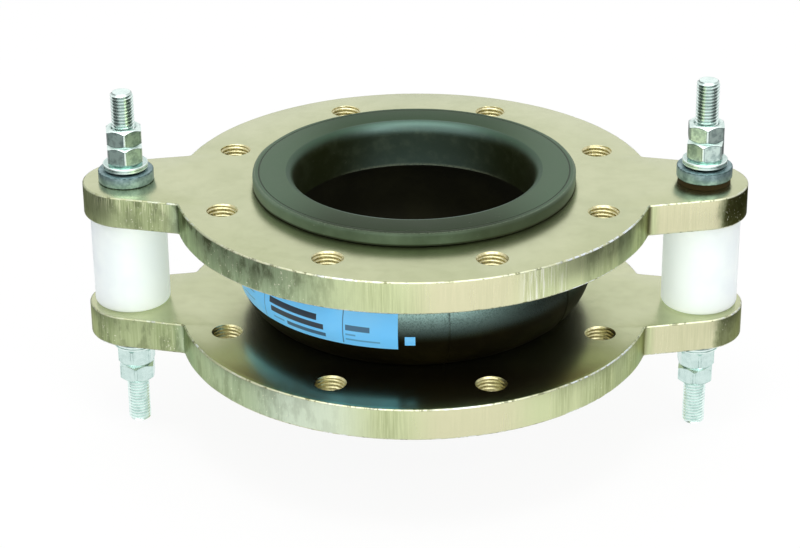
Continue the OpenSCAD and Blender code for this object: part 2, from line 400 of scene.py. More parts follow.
def rounded_wall(bm, points, out_layer, low, wall_material, edge_material):
    """A wall through the plate's thickness with both of its edges rounded."""
    edges = loop_of(bm, points, out_layer, low, -edge_r)
    turn_step = math.pi / 2 / edge_steps
    for i in range(edge_steps):
        dz = edge_r * (math.cos(i * turn_step) - math.cos((i + 1) * turn_step))
        shift = edge_r * (math.sin((i + 1) * turn_step) - math.sin(i * turn_step))
        edges = raised(bm, edges, out_layer, dz, shift, edge_material)
    edges = raised(bm, edges, out_layer, plate_t - 2 * edge_r, 0, wall_material)
    for i in reversed(range(edge_steps)):
        dz = edge_r * (math.cos(i * turn_step) - math.cos((i + 1) * turn_step))
        shift = edge_r * (math.sin(i * turn_step) - math.sin((i + 1) * turn_step))
        edges = raised(bm, edges, out_layer, dz, shift, edge_material)


def thread(bm, shape, pitch, low, high, steps):
    """Spins a thread of one pitch's shape, (radius, share of pitch), cut square at both ends."""
    turns = math.ceil((high - low) / pitch) + 2
    start = low - 1.5 * pitch
    points = [(r, start + (turn + share) * pitch) for turn in range(turns) for r, share in shape]
    points.append((shape[0][0], start + turns * pitch))
    verts = [bm.verts.new((r, 0, z)) for r, z in points]
    edges = [bm.edges.new(pair) for pair in zip(verts, verts[1:])]
    climb = (0, 0, pitch / steps)
    bmesh.ops.spin(
        bm, geom=verts + edges, cent=(0, 0, 0), axis=(0, 0, 1), dvec=climb,
        angle=2 * math.pi, steps=steps, use_merge=False,
    )
    bmesh.ops.remove_doubles(bm, verts=bm.verts, dist=0.002 * MM)
    for z, way in ((low, -1), (high, 1)):
        geometry = bm.verts[:] + bm.edges[:] + bm.faces[:]
        bmesh.ops.bisect_plane(
            bm, geom=geometry, dist=0.0005 * MM, plane_co=(0, 0, z), plane_no=(0, 0, way),
            clear_outer=True,
        )


def steel_plate(name, node, body, low):
    """One flange, with its outer face at height low or its top face at low + plate_t."""
    bm = bmesh.new()
    out_layer = bm.verts.layers.float_vector.new("out")
    groove = [
        (tap_crest_r, 0), (tap_crest_r, 0.2), (tap_root_r, 0.52), (tap_root_r, 0.68),
        (tap_crest_r, 0.98),
    ]
    thread(bm, groove, tap_pitch, low, low + plate_t, tap_steps)
    for vert in bm.verts:
        depth = min(vert.co.z - low, low + plate_t - vert.co.z)
        radius = vert.co.xy.length
        wanted = max(radius, tap_mouth_r - depth)
        vert.co.xy *= wanted / radius
    for face in bm.faces:
        face.material_index = thread_slot
    first = bm.verts[:] + bm.edges[:] + bm.faces[:]
    bmesh.ops.translate(bm, verts=bm.verts, vec=(bolt_circle_r, 0, 0))
    turn_to = Matrix.Rotation(math.pi / bolt_count, 3, "Z")
    bmesh.ops.rotate(bm, verts=bm.verts, cent=(0, 0, 0), matrix=turn_to)
    for i in range(1, bolt_count):
        copied = bmesh.ops.duplicate(bm, geom=first)["geom"]
        verts = [item for item in copied if isinstance(item, bmesh.types.BMVert)]
        turn_to = Matrix.Rotation(i * 2 * math.pi / bolt_count, 3, "Z")
        bmesh.ops.rotate(bm, verts=verts, cent=(0, 0, 0), matrix=turn_to)
    rim = [(point + out * cut_wave(point), out) for point, out in plate_outline()]
    rounded_wall(bm, rim, out_layer, low, rim_slot, edge_slot)
    holes = [((0, 0), grip_r), ((rod_x, 0), ear_hole_r), ((-rod_x, 0), ear_hole_r)]
    for centre, radius in holes:
        wall = list(arc(Vector(centre), radius, 0, 2 * math.pi, hole_step, hollow=True))
        rounded_wall(bm, wall, out_layer, low, face_slot, face_slot)
    for z in (low, low + plate_t):
        open_edges = [
            edge for edge in bm.edges
            if edge.is_boundary and max(abs(vert.co.z - z) for vert in edge.verts) < 0.01 * MM
        ]
        bmesh.ops.triangle_fill(bm, use_beauty=True, edges=open_edges)
    bmesh.ops.recalc_face_normals(bm, faces=bm.faces)
    materials = [plate_face, cut_rim, worn_edge, tapped_thread]
    return finished(name, bm, materials, body, [node])


zinc_tone = (0.60, 0.63, 0.40)
zinc_dark = (0.46, 0.50, 0.29)
zinc_pale = (0.72, 0.72, 0.50)
arch_reflection_brown = (0.24, 0.17, 0.10)


def between(field, low, high, soft=3 * MM):
    """1 where a field is between low and high, 0 outside, with soft ends."""
    return field.rise(low - soft, low + soft) * field.rise(high + soft, high - soft)


coat = Finish("plated_face")
cloud = coat.grain(55 * MM, coat.place(), 2)
mottle = coat.grain(9 * MM, coat.place(), 3, 0.6)
speck = coat.grain(0.7 * MM, coat.place(), 2, 0.6)
drawn = coat.grain(1.2 * MM, coat.place((0.03, 1, 1)), 2)
shade = coat.mix(cloud.rise(0.3, 0.75) * 0.5 + mottle.rise(0.35, 0.75) * 0.25, zinc_tone, zinc_dark)
shade = coat.mix(speck.rise(0.6, 0.85) * 0.12, shade, zinc_pale)
face_x, face_y, face_z = coat.axes(coat.place())
off_axis = (face_x * face_x + face_y * face_y) ** 0.5
# The lower plate's inner face is painted browner and darker in front of the arch, a painted
# reflection of the dark arch.
arch_reflection_share = face_y.rise(-66 * MM, -92 * MM) * between(face_z, 14 * MM, 30 * MM, 1 * MM)
arch_reflection_share = arch_reflection_share * off_axis.rise(125 * MM, 121 * MM)
shade = coat.mix(arch_reflection_share * (mottle.rise(0.2, 0.6) * 0.15 + 0.55), shade, arch_reflection_brown)
plate_face = coat.shade(
    Base_Color=shade,
    Metallic=1.0,
    Roughness=0.24 + mottle * 0.04,
    Normal=coat.bump(drawn, 0.004 * MM),
)

cut = Finish("cut_rim")
rim_x, _, rim_z = cut.axes(cut.place())
upright = (1, 1, 0.045)
drag_line = cut.grain(1.3 * MM, cut.place(upright, (3, 1, 0)), 3, 0.6)
hair = cut.grain(0.45 * MM, cut.place((1, 1, 0.03), (0, 5, 0)), 2, 0.6)
band = cut.grain(9 * MM, cut.place(upright), 1)
pit = cut.grain(1.5 * MM, cut.place((1, 1, 0.6)), 3, 0.7)
drop = cut.grain(1.1 * MM, cut.place((1, 1, 0.8), (3, 3, 3)), 1)
stain = cut.grain(7 * MM, cut.place((1, 1, 0.45), (7, 0, 2)), 4, 0.65)
patch = cut.grain(26 * MM, cut.place((1, 1, 0.3), (2, 4, 0)), 1)

# Which part of a rim this is: plate, side, ear, ear's tip, and smooth, grimy or rough. The grimy
# share is grime and also painted shade, darkening the left of the disc and the right ear's tip.
on_upper = rim_z.rise(40 * MM, 60 * MM)
lower_share = rim_z.rise(60 * MM, 40 * MM)
upper_share = on_upper * 0.35 + 0.65
left_share = rim_x.rise(-12 * MM, -75 * MM)
ear_share = rim_x.rise(122 * MM, 127 * MM)
tip_share = (rim_x + stain * 10 * MM).rise(161 * MM, 167 * MM)
smooth_share = between(rim_x, 5 * MM, 55 * MM, 12 * MM) + ear_share * (1.0 - tip_share)
left_ear_share = rim_x.rise(-120 * MM, -128 * MM)
disc_left = left_share * (1.0 - left_ear_share)
grime_and_shade_share = (
    left_share * (1.0 - left_ear_share * 0.3) + tip_share + between(rim_x, 86 * MM, 119 * MM) * 0.5
) * upper_share + left_ear_share * lower_share * 0.5
rough_share = (grime_and_shade_share * 0.6 + patch.rise(0.45, 0.65) * 0.5) * (1.0 - smooth_share * 0.7)
streak = drag_line.rise(0.3, 0.7) * 0.55 + hair.rise(0.35, 0.7) * 0.45
pale_share = between(rim_x, 55 * MM, 76 * MM) * band.rise(0.35, 0.65) * on_upper

# The rim's colour, from its plain zinc through streaks, grime and painted shade to stains, specks
# and runs.
tint = cut.mix(smooth_share, (0.67, 0.74, 0.43), (0.75, 0.73, 0.48))
tint = cut.mix(lower_share * 0.2, tint, (0.50, 0.52, 0.33))
tint = cut.mix((1.0 - streak) * (rough_share * 0.9 + 0.1), tint, (0.27, 0.32, 0.14))
tint = cut.mix(grime_and_shade_share * 0.5, tint, (0.33, 0.42, 0.21))
tint = cut.mix(disc_left * 0.3, tint, (0.32, 0.50, 0.42))
# Paler on the lower rim's front left.
lower_left_pale_share = lower_share * between(rim_x, -72 * MM, -28 * MM, 15 * MM)
tint = cut.mix(lower_left_pale_share * 0.5, tint, (0.80, 0.90, 0.80))
tint = cut.mix(pale_share * drag_line.rise(0.5, 0.6) * 0.8, tint, (0.93, 0.94, 0.80))
tint = cut.mix(pale_share * drag_line.rise(0.46, 0.38) * 0.5, tint, (0.44, 0.46, 0.27))
grey_run = between(rim_x, 103 * MM, 111 * MM, 1.5 * MM) * upper_share
tint = cut.mix(grey_run * 0.4, tint, (0.22, 0.30, 0.18))
dark_run = between(rim_x, 119 * MM, 122 * MM, 1 * MM) * upper_share
tint = cut.mix(dark_run * 0.7, tint, (0.16, 0.14, 0.07))
stain_share = stain.rise(0.44, 0.62) * (rim_z.rise(76 * MM, 85 * MM) * 0.4 + 0.45)
tint = cut.mix(stain_share * grime_and_shade_share, tint, (0.09, 0.11, 0.05))
# Painted shade: the right ear's end is painted nearly black.
tip_shade = tip_share * (pit.rise(0.3, 0.6) * 0.15 + 0.83) * upper_share
tint = cut.mix(tip_shade, tint, (0.07, 0.07, 0.02))
speck_share = (pit.rise(0.64, 0.70) * 0.7 + drop.rise(0.70, 0.74)) * patch.rise(0.40, 0.56)
tint = cut.mix(speck_share * (grime_and_shade_share * 0.8 + 0.1), tint, (0.90, 0.91, 0.70))
run_share = hair.rise(0.56, 0.64) * rim_z.rise(74 * MM, 84 * MM) * left_ear_share
tint = cut.mix(run_share * 0.7, tint, (0.88, 0.92, 0.60))
cut_rim = cut.shade(
    Base_Color=tint,
    Metallic=0.92 + tip_share * 0.08,
    Specular_Tint=(0.6, 0.62, 0.45),
    Roughness=0.27 + (1.0 - streak) * rough_share * 0.25,
    Normal=cut.bump(drag_line * 0.7 + hair * 0.35 + pit * 0.25, 0.09 * MM, 0.6),
)

worn = Finish("worn_edge")
edge_x, _, _ = worn.axes(worn.place())
chip = worn.grain(2.6 * MM, worn.place((1, 1, 0.5)), 4, 0.7)
rubbed = worn.grain(34 * MM, worn.place((1, 1, 0.4), (5, 2, 1)), 1).rise(0.48, 0.62)
nick = worn.grain(3.5 * MM, worn.place((1, 1, 0.3), (9, 1, 4)), 3, 0.7)
# Painted shade: the edges at the left ear are darker, and rougher so that they shine less.
left_ear_shade_share = edge_x.rise(-88 * MM, -105 * MM)
bare = chip.rise(0.44, 0.56) * (rubbed * 0.6 + between(edge_x, 78 * MM, 112 * MM) + 0.1)
edge_tone = worn.mix(left_ear_shade_share, (0.58, 0.60, 0.40), (0.40, 0.43, 0.26))
edge_tone = worn.mix(nick.rise(0.48, 0.36) * 0.85, edge_tone, (0.16, 0.17, 0.08))
worn_edge = worn.shade(
    Base_Color=worn.mix(bare, edge_tone, (0.82, 0.88, 0.92)),
    Metallic=1.0,
    Roughness=0.4 + left_ear_shade_share * 0.1 - bare * 0.14,
    Normal=worn.bump(chip, 0.12 * MM, 0.8),
)

tapped = Finish("tapped_thread")
turned_mark = tapped.grain(1.0 * MM, tapped.place(), 2)
tapped_thread = tapped.shade(
    Base_Color=tapped.mix(turned_mark.rise(0.35, 0.7), (0.50, 0.46, 0.25), (0.72, 0.68, 0.42)),
    Metallic=1.0,
    Roughness=0.3,
)

gap_low = plate_t
gap_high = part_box("upper_flange")[0].z
steel_plate("lower_plate", "lower_flange", "lower", 0)
steel_plate("upper_plate", "upper_flange", "upper", gap_high)

# Bellows: one moulding of black rubber. A collar seals on each flange's outer face, a neck goes
# through each flange, and the arch between them takes up the movement. The mould left four thin
# upright lines on the arch.
middle_z = (gap_low + gap_high) / 2
water_r = 62.5 * MM
neck_r = 73.8 * MM
rubber_gap = 0.2 * MM
collar_r = 84.5 * MM
collar_h = 7 * MM
collar_edge_r = 1.5 * MM
collar_foot_r = 0.6 * MM
collar_wave = 0.5 * MM
collar_wave_size = 24 * MM
collar_wave_band = 3 * MM
mouth_r = 4.5 * MM
mouth_h = 7.5 * MM
arch_r = 28 * MM
arch_centre = 94 * MM - arch_r
hollow_r = 25.6 * MM
hollow_centre = 94 * MM - 11.5 * MM - hollow_r
hollow_margin = 1.5
bellows_steps = 180
seam_azimuths = (-78.2, -32.4, 101.8, 147.6)
seam_reach = 66
seam_w = 0.6 * MM
seam_h = 0.45 * MM
arch_slot, neck_slot, inner_slot = 1, 2, 3


def curve(centre, radius, start, end, count):
    """Points from one end of an arc to the other, in degrees, as (distance from the axis, z)."""
    for i in range(count + 1):
        angle = math.radians(start + (end - start) * i / count)
        yield centre[0] + radius * math.cos(angle), centre[1] + radius * math.sin(angle)


def half_rubber():
    """The upper half of the bellows' section, from inside the arch round to its crown."""
    top = gap_high + plate_t + collar_h
    hollow_end = math.degrees(math.acos((water_r - hollow_centre) / hollow_r))
    lip_z = gap_high - rubber_gap
    arch_end = math.degrees(math.asin((lip_z - middle_z) / arch_r))
    points = list(
        curve((hollow_centre, middle_z), hollow_r, 0, hollow_end - hollow_margin, 16)
    )
    for r, z in curve((0, 0), 1, 180, 90, 10):
        points.append((water_r + mouth_r + r * mouth_r, top - mouth_h + z * mouth_h))
    points += curve((collar_r - collar_edge_r, top - collar_edge_r), collar_edge_r, 90, 0, 5)
    under = top - collar_h + rubber_gap
    foot_centre = (collar_r - collar_foot_r, under + collar_foot_r)
    points += curve(foot_centre, collar_foot_r, 0, -90, 3)
    points += [(neck_r, under), (neck_r, lip_z)]
    points += list(curve((arch_centre, middle_z), arch_r, arch_end, 0, 18))
    return points


def mould_line(bm, azimuth):
    """A thin raised line over the arch, from one flange to the other."""
    turn_to = Matrix.Rotation(math.radians(azimuth), 3, "Z")
    rows = []
    for across, proud in ((-seam_w, 0), (0, seam_h), (seam_w, 0)):
        points = curve((arch_centre, middle_z), arch_r + proud, -seam_reach, seam_reach, 30)
        rows.append([bm.verts.new(turn_to @ Vector((r, across, z))) for r, z in points])
    edges = [bm.edges.new(pair) for row in rows for pair in zip(row, row[1:])]
    per_row = len(edges) // 3
    for i in (0, 1):
        bmesh.ops.bridge_loops(bm, edges=edges[i * per_row:(i + 2) * per_row])


upper_half = half_rubber()
lower_half = [(r, 2 * middle_z - z) for r, z in upper_half]
section = upper_half[:-1] + lower_half[:0:-1]
tube = bmesh.new()
ring = [tube.verts.new((r, 0, z)) for r, z in section]
ring_edges = [tube.edges.new((ring[i - 1], ring[i])) for i in range(len(ring))]
bmesh.ops.spin(
    tube, geom=ring + ring_edges, cent=(0, 0, 0), axis=(0, 0, 1), angle=2 * math.pi,
    steps=bellows_steps, use_merge=True,
)
bmesh.ops.remove_doubles(tube, verts=tube.verts, dist=0.001 * MM)
bmesh.ops.recalc_face_normals(tube, faces=tube.faces)
for vert in tube.verts:
    on_collar = not gap_low < vert.co.z < gap_high
    if on_collar and vert.co.xy.length > collar_r - collar_wave_band:
        vert.co.xy *= 1 + noise.noise(vert.co / collar_wave_size) * collar_wave / collar_r
for azimuth in seam_azimuths:
    mould_line(tube, azimuth)


skin_dust = (0.13, 0.145, 0.11)


def rubber(name):
    """A new rubber finish with the place on the object, and grain of two sizes."""
    made = Finish(name)
    x, y, z = made.axes(made.place())
    bloom = made.grain(24 * MM, made.place(), 3, 0.6)
    skin = made.grain(0.8 * MM, made.place(), 3, 0.6)
    return made, x, y, z, bloom, skin


def dust(made, least):
    """1 on specks of dust, which get fewer as least goes up, and 0 between them."""
    specks = made.grain(1.1 * MM, made.place((1, 1, 1), (4, 2, 1)), 3, 0.7)
    return specks.rise(least, least + 0.06)


collar, x, y, z, bloom, skin = rubber("collar_rubber")
scuff = collar.grain(3 * MM, collar.place((0.25, 1, 1)), 4, 0.7)
far_out = (x * x + y * y) ** 0.5
side_share = far_out.rise(collar_r - 1.5 * MM, collar_r - 0.3 * MM)
lip_share = between(far_out, 80.8 * MM, 81.3 * MM, 0.3 * MM)
edge_share = between(far_out, 82.9 * MM, 83.6 * MM, 0.3 * MM)
foot_shadow_share = between(z, 84 * MM, 87.3 * MM, 0.4 * MM)
# Painted shade and sheen: the collar is darker at its front and back, lighter on its flanks.
front_shade_share = y.rise(-25 * MM, -75 * MM)
back_shade_share = y.rise(10 * MM, 70 * MM)
flank_sheen_share = abs(x).rise(35 * MM, 78 * MM)
shaded_share = side_share * x.rise(10 * MM, 50 * MM) * y.rise(-10 * MM, -40 * MM)
black = collar.mix(bloom.rise(0.35, 0.7), (0.020, 0.044, 0.018), (0.030, 0.060, 0.030))
black = collar.mix(front_shade_share * 0.95, black, (0.003, 0.011, 0.001))
black = collar.mix(back_shade_share * 0.7, black, (0.004, 0.024, 0.006))
black = collar.mix(flank_sheen_share * 0.8, black, (0.058, 0.098, 0.062))
black = collar.mix(scuff.rise(0.60, 0.8) * 0.4, black, (0.06, 0.08, 0.055))
# Painted shade: the groove near the collar's edge is painted nearly black.
black = collar.mix(lip_share * 0.95, black, (0.002, 0.004, 0.002))
black = collar.mix(edge_share * skin.rise(0.35, 0.6) * 0.6, black, (0.15, 0.18, 0.13))
black = collar.mix(side_share * (bloom.rise(0.3, 0.7) * 0.4 + 0.4), black, (0.10, 0.14, 0.095))
black = collar.mix(dust(collar, 0.69) * (side_share * 0.7 + 0.3), black, (0.42, 0.46, 0.38))
# Painted shadow at the collar's foot, and painted shade on its right front side.
black = collar.mix(foot_shadow_share * 0.9, black, (0.002, 0.003, 0.001))
black = collar.mix(shaded_share * 0.7, black, (0.010, 0.012, 0.004))
collar_rubber = collar.shade(
    Base_Color=black,
    Roughness=0.42 + bloom * 0.12 + skin * 0.06,
    Specular_IOR_Level=0.3,
    Specular_Tint=(0.8, 1.0, 0.62),
    Normal=collar.bump(skin * 0.012 - lip_share, 1 * MM, 0.6),
)

neck, x, _, z, _, skin = rubber("neck_rubber")
cloud = neck.grain(7 * MM, neck.place((1, 1, 1), (1, 6, 0)), 4, 0.65)
inner_edge = z.rise(69.6 * MM, 68.2 * MM) * z.rise(60 * MM, 66 * MM)
# Painted shade: the neck's sides are painted darker and matt, its back middle stays glossy.
side_shade_share = abs(x - 3 * MM).rise(20 * MM, 52 * MM)
# Painted highlight: a pale line along the neck's inner edge, at the back.
inner_edge_highlight = inner_edge * (1.0 - side_shade_share) * skin.rise(0.3, 0.6) * 0.8
black = neck.mix(cloud.rise(0.45, 0.7) * 0.6, (0.008, 0.010, 0.001), (0.040, 0.050, 0.026))
black = neck.mix(side_shade_share * 0.7, black, (0.005, 0.007, 0.001))
black = neck.mix(inner_edge_highlight, black, (0.15, 0.16, 0.10))
black = neck.mix(z.rise(89 * MM, 92.8 * MM), black, (0.016, 0.036, 0.014))
black = neck.mix(dust(neck, 0.68) * 0.5, black, skin_dust)
fine_bump = neck.bump(skin, 0.03 * MM, 0.6)
glossy = neck.surface(
    Base_Color=black, Roughness=0.34 + skin * 0.08, IOR=1.65, Specular_IOR_Level=0.85,
    Specular_Tint=(0.62, 1.0, 0.92), Normal=fine_bump,
)
matt = neck.surface(
    Base_Color=black, Roughness=0.55 + skin * 0.1, Specular_IOR_Level=0.12,
    Specular_Tint=(0.9, 1.0, 0.6), Normal=fine_bump,
)
# A lit glossy copy and a shaded matt copy of the rubber, mixed by the painted side shade.
side_shade_share = side_shade_share * (z.rise(93 * MM, 88 * MM) * 0.35 + 0.6)
neck_rubber = neck.end(neck.layered(side_shade_share, glossy, matt))

arch, x, _, z, bloom, skin = rubber("arch_rubber")
# Painted highlight: a pale sheen on the arch's upper front, where more dust lies too.
sheen_and_dust_share = z.rise(36 * MM, 58 * MM) * (between(x, -25 * MM, 32 * MM, 28 * MM) * 0.85 + 0.15)
black = arch.mix(sheen_and_dust_share * skin.rise(0.3, 0.65), (0.008, 0.011, 0.008), (0.26, 0.37, 0.36))
black = arch.mix(dust(arch, 0.66) * (sheen_and_dust_share * 0.5 + 0.15), black, skin_dust)
fine_bump = arch.bump(skin, 0.02 * MM, 0.5)
# A lit glossy copy for the arch's upper part and a shaded, near-black matt copy below it: painted
# light and shade.
over = arch.surface(
    Base_Color=black, Roughness=0.24 + skin * 0.08, IOR=1.95, Specular_IOR_Level=0.9,
    Specular_Tint=(0.62, 1.0, 0.90), Normal=fine_bump,
)
under = arch.surface(
    Base_Color=arch.mix(bloom.rise(0.4, 0.7), (0.002, 0.0015, 0.0003), (0.006, 0.005, 0.001)),
    Roughness=0.5 + skin * 0.1, Specular_IOR_Level=0.05,
    Specular_Tint=(1.0, 0.95, 0.6), Normal=fine_bump,
)
lit_upper_share = z.rise(37 * MM, 56 * MM) * (1.0 - x.rise(30 * MM, 80 * MM) * 0.65)
arch_rubber = arch.end(arch.layered(lit_upper_share, under, over))

inner, _, _, _, bloom, skin = rubber("inner_rubber")
inner_rubber = inner.shade(
    Base_Color=inner.mix(bloom.rise(0.4, 0.7), (0.003, 0.003, 0.001), (0.008, 0.008, 0.003)),
    Roughness=0.6 + skin * 0.1,
    Specular_IOR_Level=0.12,
    Specular_Tint=(1.0, 1.0, 0.7),
)

rubber_finishes = [collar_rubber, arch_rubber, neck_rubber, inner_rubber]
for face in tube.faces:
    centre = face.calc_center_median()
    inward = face.normal.dot(centre * Vector((1, 1, 0))) < 0
    if inward and abs(centre.z - middle_z) < hollow_r:
        in_hollow = centre.xy.length > water_r + 0.1 * MM
        face.material_index = inner_slot if in_hollow else neck_slot
    elif gap_low < centre.z < gap_high:
        face.material_index = arch_slot
    elif centre.xy.length < water_r + mouth_r:
        face.material_index = neck_slot
bellows = finished("rubber_bellows", tube, rubber_finishes, None, ["bellows"])
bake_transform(bellows)

# Label: a strip of blue film stuck round the front of the arch, with plain bars and ruled lines
# for its print, and a small square sticker of the same film beside it.
film_t = 0.12 * MM
bar_soft = 0.002


def film(name, azimuths, heights, steps, material):
    """A patch of film on the arch, between two azimuths and two angles on the arch's curve."""
    bm = bmesh.new()
    points = curve((arch_centre, middle_z), arch_r + film_t, *heights, 12)
    verts = [bm.verts.new((r, 0, z)) for r, z in points]
    edges = [bm.edges.new(pair) for pair in zip(verts, verts[1:])]
    turn_to = Matrix.Rotation(math.radians(azimuths[0]), 3, "Z")
    bmesh.ops.rotate(bm, verts=verts, matrix=turn_to)
    sweep = math.radians(azimuths[1] - azimuths[0])
    bmesh.ops.spin(
        bm, geom=verts + edges, cent=(0, 0, 0), axis=(0, 0, 1), angle=sweep, steps=steps,
        use_merge=False,
    )
    bmesh.ops.recalc_face_normals(bm, faces=bm.faces)
    level = Vector((1, 1, 0))
    if sum(face.normal.dot(face.calc_center_median() * level) for face in bm.faces) < 0:
        bmesh.ops.reverse_faces(bm, faces=bm.faces)
    across = bm.loops.layers.uv.new("film")
    for face in bm.faces:
        for loop in face.loops:
            x, y, z = loop.vert.co
            along = (math.degrees(math.atan2(y, x)) - azimuths[0]) / (azimuths[1] - azimuths[0])
            angle = math.degrees(math.atan2(z - middle_z, math.hypot(x, y) - arch_centre))
            loop[across].uv = (along, (angle - heights[0]) / (heights[1] - heights[0]))
    patch = finished(name, bm, [material], None, [])
    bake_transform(patch)


def bar(u, v, left, right, low, high):
    """1 inside a box on the film and 0 outside it."""
    inside = u.rise(left - bar_soft, left) * u.rise(right + bar_soft, right)
    return inside * v.rise(low - bar_soft * 3, low) * v.rise(high + bar_soft * 3, high)


printed = Finish("printed_film")
u, v, _ = printed.axes(printed.node("ShaderNodeUVMap", {"uv_map": "film"}))
blue = (0.135, 0.54, 0.98)
ink = (0.015, 0.03, 0.05)
# Each bar's left, right, low and high side as shares of the film, and how dark it is.
bars = [
    (0.335, 0.62, 0.34, 0.44, 1.0), (0.345, 0.655, 0.20, 0.29, 1.0),
    (0.45, 0.665, 0.075, 0.14, 0.85), (0.36, 0.43, 0.10, 0.125, 0.5),
    (0.765, 0.875, 0.28, 0.37, 0.8), (0.765, 0.81, 0.19, 0.215, 0.5),
    (0.765, 0.92, 0.10, 0.125, 0.5), (0.7505, 0.7535, 0.03, 0.92, 0.75),
    (0.2935, 0.2965, 0.03, 0.92, 0.6), (0.08, 0.20, 0.30, 0.32, 0.5),
    (0.08, 0.20, 0.16, 0.18, 0.5),
]
fade = printed.grain(18 * MM, printed.place(), 2).rise(0.3, 0.8) * 0.4
paper = printed.mix(fade, blue, (0.22, 0.60, 0.93))
for *box, weight in bars:
    paper = printed.mix(bar(u, v, *box) * weight, paper, ink)
label_film = printed.shade(Base_Color=paper, Roughness=0.32)
film(
    "type_label", azimuths=(-164.0, -93.9), heights=(-19.5, 45.0), steps=70, material=label_film
)

plain_film = Finish("plain_film")
tack = plain_film.grain(2 * MM, plain_film.place(), 2)
sticker_film = plain_film.shade(
    Base_Color=plain_film.mix(tack.rise(0.3, 0.7) * 0.4, blue, (0.24, 0.60, 0.92)),
    Roughness=0.4,
)
film(
    "blue_sticker", azimuths=(-91.8, -88.6), heights=(-13.8, -3.4), steps=4, material=sticker_film
)

# Spacer sleeves: short tubes turned from white plastic bar, loose on the tie rods, that keep the
# flanges from being drawn together. The plastic has a weak painted glow, stronger on the side
# near the bellows.
sleeve_r = 20 * MM
sleeve_bore_r = 11.5 * MM
sleeve_edge_r = 2.5 * MM
turned_steps = 96
rod_at = {"left": -rod_x, "right": rod_x}


def turned(name, section, rounding, x, materials, body, node, flip=False):
    """Spins a closed section, its corners rounded, about a tie rod's axis. flip mirrors it in z."""
    bm = bmesh.new()
    verts = [bm.verts.new((r, 0, z)) for r, z in section]
    edges = [bm.edges.new((verts[i - 1], verts[i])) for i in range(len(verts))]
    if rounding:
        bmesh.ops.bevel(
            bm, geom=verts, offset=rounding, offset_type="OFFSET", affect="VERTICES", segments=3,
            profile=0.5, material=-1, clamp_overlap=True,
        )
    bmesh.ops.spin(
        bm, geom=bm.verts[:] + bm.edges[:], cent=(0, 0, 0), axis=(0, 0, 1), angle=2 * math.pi,
        steps=turned_steps, use_merge=True,
    )
    bmesh.ops.remove_doubles(bm, verts=bm.verts, dist=0.001 * MM)
    if flip:
        bmesh.ops.scale(bm, verts=bm.verts, vec=(1, 1, -1))
    bmesh.ops.translate(bm, verts=bm.verts, vec=(x, 0, 0))
    bmesh.ops.recalc_face_normals(bm, faces=bm.faces)
    return finished(name, bm, materials, body, [node])


plastic = Finish("white_plastic")
haze = plastic.grain(12 * MM, plastic.place(), 2)
tool_mark = plastic.grain(0.6 * MM, plastic.place((0.05, 0.05, 1)), 2)
sleeve_x, _, _ = plastic.axes(plastic.place())
# Painted glow: the plastic glows weakly, more on the side near the bellows.
glow_share = abs(sleeve_x).rise(172 * MM, 138 * MM)
white_plastic = plastic.shade(
    Base_Color=plastic.mix(haze.rise(0.3, 0.7), (0.62, 0.66, 0.66), (0.66, 0.70, 0.68)),
    Roughness=0.45 + tool_mark * 0.06,
    Subsurface_Weight=1.0,
    Subsurface_Scale=0.02,
    Subsurface_Radius=(1, 1, 1),
    Emission_Color=plastic.mix(glow_share, (0.12, 0.13, 0.18), (0.90, 1.0, 0.90)),
    Emission_Strength=0.4,
    Normal=plastic.bump(tool_mark, 0.006 * MM, 0.5),
)
for side, x in rod_at.items():
    low, high = (corner.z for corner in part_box(f"{side}_sleeve"))
    edge_at = sleeve_r - sleeve_edge_r
    section = [(sleeve_bore_r, low)]
    section += curve((edge_at, low + sleeve_edge_r), sleeve_edge_r, -90, 0, 6)
    section += curve((edge_at, high - sleeve_edge_r), sleeve_edge_r, 0, 90, 6)
    section.append((sleeve_bore_r, high))
    turned(f"{side}_spacer", section, 0, x, [white_plastic], "lower", f"{side}_sleeve")

# Tie rods: two M12 studs, threaded from end to end and zinc plated, with chamfered tips.
rod_r = 6 * MM
rod_root_r = 4.95 * MM
rod_tip_r = 4.8 * MM
rod_pitch = 1.75 * MM
rod_steps = 28


def bright_zinc(name, pale, dark, rough, depth, size, groove_r=0):
    """Bright zinc plate with soft blotches and fine grain. A rod darkens inside groove_r."""
    plated = Finish(name)
    blotch = plated.grain(4 * MM, plated.place(), 3, 0.65)
    fine = plated.grain(size, plated.place(), 2, 0.6)
    color = plated.mix(blotch.rise(0.4, 0.66) * 0.8, pale, dark)
    if groove_r:
        x, y, z = plated.axes(plated.place())
        from_axis = abs(x) - rod_x
        radius = (from_axis * from_axis + y * y) ** 0.5
        deep = radius.rise(groove_r, groove_r - 0.7 * MM)
        deep = deep * radius.rise(rod_tip_r - 0.3 * MM, rod_tip_r)
        shadow = deep * (z.rise(-10 * MM, 90 * MM) * 0.35 + 0.15)
        color = plated.mix(shadow, color, (0.20, 0.26, 0.24))
    return plated.shade(
        Base_Color=color,
        Metallic=1.0,
        Roughness=rough + blotch * 0.08,
        Normal=plated.bump(fine, depth, 0.6),
    )


